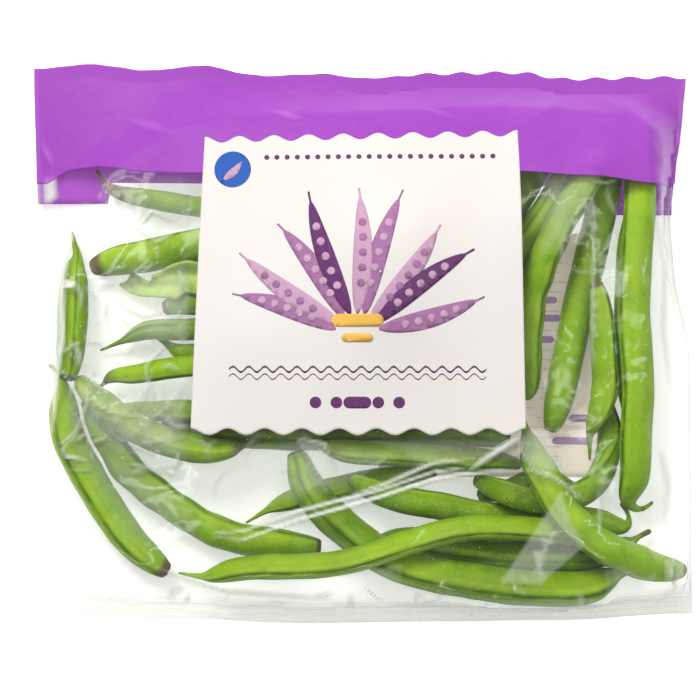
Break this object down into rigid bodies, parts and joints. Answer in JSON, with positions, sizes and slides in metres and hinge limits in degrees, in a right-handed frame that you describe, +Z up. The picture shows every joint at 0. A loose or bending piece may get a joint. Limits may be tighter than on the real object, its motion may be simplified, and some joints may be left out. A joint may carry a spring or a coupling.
{
  "type": "bag of green beans",
  "caption": "Flat clear film bag with a purple header and a scalloped label, filled with whole green bean pods lying loose over one another.",
  "frame": {"origin": "on the surface that the bag lies on, under the middle of its outline", "axes": "+X along the header's width, +Y from the sealed bottom edge to the header, +Z up out of the front panel"},
  "size_m": [0.197, 0.1669, 0.0311],
  "materials": {
    "pod": "fresh bean skin, softly glossy",
    "torn_pod": "pale torn bean skin, moist",
    "film": "clear glossy film with a slight haze",
    "header": "film printed opaque purple, satin",
    "label": "cream white print, satin, with mauve shapes",
    "back_label": "beige print seen through the film, with purple bars"
  },
  "bodies": {
    "root": {"film_back": "film", "film_front": "film", "header_back": "header", "header_front": "header", "label_back": "back_label", "label_front": "label", "pod_core_a": "pod", "pod_core_b": "pod", "pod_core_c": "pod", "pod_core_d": "pod", "pod_core_e": "pod", "pod_core_f": "pod", "pod_core_g": "pod", "pod_core_h": "pod", "pod_cross": "pod", "pod_edge": "pod", "pod_header_a": "pod", "pod_header_b": "pod", "pod_left_a": "pod", "pod_left_b": "pod", "pod_left_c": "pod", "pod_left_d": "pod", "pod_left_e": "pod", "pod_left_f": "pod", "pod_left_g": "pod", "pod_left_h": "pod", "pod_long_a": "pod", "pod_long_b": "pod", "pod_low_a": "pod", "pod_low_b": "pod", "pod_low_c": "pod", "pod_mid_a": "pod", "pod_mid_b": "pod", "pod_right_a": "pod", "pod_right_b": "pod", "pod_right_c": "pod", "pod_right_d": "pod", "pod_right_e": "pod", "pod_right_u": "pod", "pod_torn": "torn_pod", "pod_upper_a": "pod", "pod_upper_b": "pod"}
  },
  "joints": []
}
